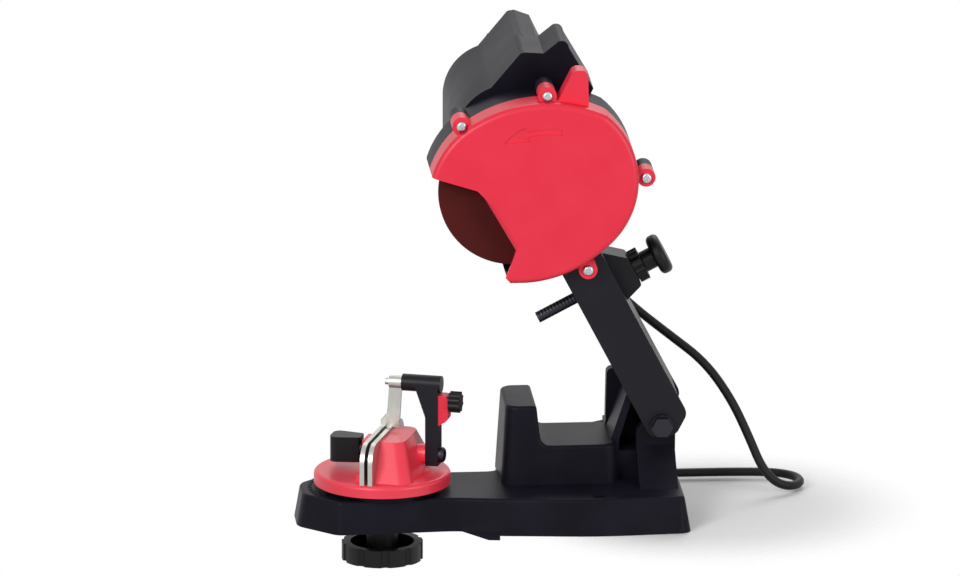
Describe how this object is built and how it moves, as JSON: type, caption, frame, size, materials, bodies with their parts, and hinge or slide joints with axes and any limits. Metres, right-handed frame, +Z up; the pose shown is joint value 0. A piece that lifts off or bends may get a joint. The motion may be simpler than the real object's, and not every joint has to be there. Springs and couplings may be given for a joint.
{
  "type": "chain sharpener",
  "caption": "Bench-mounted electric chainsaw-chain sharpener: swinging motor head with covered grinding wheel, depth stop and swivelling chain vise on a moulded base.",
  "frame": {"origin": "middle of the two bench bolt holes, on the base's underside", "axes": "+X from the vise towards the hinge, +Y away from the operator's side, +Z up"},
  "size_m": [0.3648, 0.255, 0.3625],
  "materials": {
    "black_plastic": "fine grain",
    "red_plastic": "glossy",
    "red_paint": "semi-gloss",
    "steel": "brushed",
    "abrasive": "rough",
    "copper": "satin",
    "cord_rubber": "matte",
    "arm_paint": "satin",
    "carbon": "matte"
  },
  "bodies": {
    "base": {"base": "black_plastic", "hinge_bolt": "steel", "hinge_washers": "steel", "hinge_nut": "steel", "return_spring": "steel", "stud_washer": "steel", "cord_free": "cord_rubber", "cord_coil": "cord_rubber", "cord_tie": "cord_rubber", "plug_body": "cord_rubber", "plug_pins": "copper"},
    "head": {"arm": "arm_paint", "wheel_cover": "red_plastic", "cover_screws": "steel", "front_housing": "black_plastic", "rear_housing": "black_plastic", "housing_screws": "steel", "front_bearing": "steel", "rear_bearing": "steel", "stator": "steel", "brush_plate": "black_plastic", "brushes": "carbon", "power_switch": "black_plastic", "strain_relief": "cord_rubber"},
    "spindle": {"motor_shaft": "steel", "grinding_wheel": "abrasive", "inner_flange": "steel", "outer_flange": "steel", "arbor_nut": "steel", "armature": "steel", "commutator": "copper", "cooling_fan": "black_plastic"},
    "depth_stop": {"stop_rod": "steel", "stop_knob": "black_plastic"},
    "stop_lock": {"stop_lock_nut": "black_plastic"},
    "vise": {"turntable": "red_paint", "rail_left": "steel", "rail_right": "steel", "rail_screws": "steel", "bracket": "arm_paint", "bracket_bolt": "steel", "chain_stop_pin": "steel", "adjuster_block": "red_plastic", "vise_stud": "steel"},
    "clamp": {"clamp_knob": "black_plastic", "clamp_screw": "steel"},
    "adjuster": {"adjuster_knob": "black_plastic"},
    "chain_stop": {"chain_stop": "steel"},
    "vise_lock": {"vise_knob": "black_plastic"},
    "rocker": {"switch_rocker": "black_plastic"}
  },
  "joints": [
    {"name": "head_swing", "type": "hinge", "parent": "base", "child": "head", "pos_m": [0.0475, 0, 0.064], "axis": [0, -1, 0], "range_deg": [0, 27], "stiffness_Nm_per_rad": 4, "springref_deg": -51.57, "deforming": ["return_spring", "cord_free"]},
    {"name": "wheel_spin", "type": "hinge", "parent": "head", "child": "spindle", "pos_m": [-0.05749, 0, 0.23753], "axis": [0, 1, 0], "continuous": true},
    {"name": "stop_slide", "type": "slide", "parent": "head", "child": "depth_stop", "axis": [0.887, 0, 0.4617], "range_m": [0, 0.028]},
    {"name": "stop_lock_turn", "type": "hinge", "parent": "head", "child": "stop_lock", "pos_m": [0.03342, 0.017, 0.17335], "axis": [0.887, 0, 0.4617], "continuous": true},
    {"name": "vise_swivel", "type": "hinge", "parent": "base", "child": "vise", "pos_m": [-0.1495, -0.017, 0.0296], "axis": [0, 0, 1], "range_deg": [-16.5, 53.5]},
    {"name": "clamp_turn", "type": "hinge", "parent": "vise", "child": "clamp", "pos_m": [-0.16373, -0.01224, 0.0525], "axis": [0.9483, -0.3173, 0], "continuous": true},
    {"name": "adjuster_turn", "type": "hinge", "parent": "vise", "child": "adjuster", "pos_m": [-0.09954, -0.02528, 0.088], "axis": [0.9483, -0.3173, 0], "continuous": true},
    {"name": "chain_stop_flip", "type": "hinge", "parent": "vise", "child": "chain_stop", "pos_m": [-0.14696, -0.00941, 0.1], "axis": [0.9483, -0.3173, 0], "range_deg": [0, 70]},
    {"name": "vise_lock_turn", "type": "hinge", "parent": "vise", "child": "vise_lock", "pos_m": [-0.1495, -0.017, -0.014], "axis": [0, 0, 1], "continuous": true},
    {"name": "switch_rock", "type": "hinge", "parent": "head", "child": "rocker", "pos_m": [-0.05349, 0.141, 0.29753], "axis": [1, 0, 0], "range_deg": [-8, 8]}
  ]
}
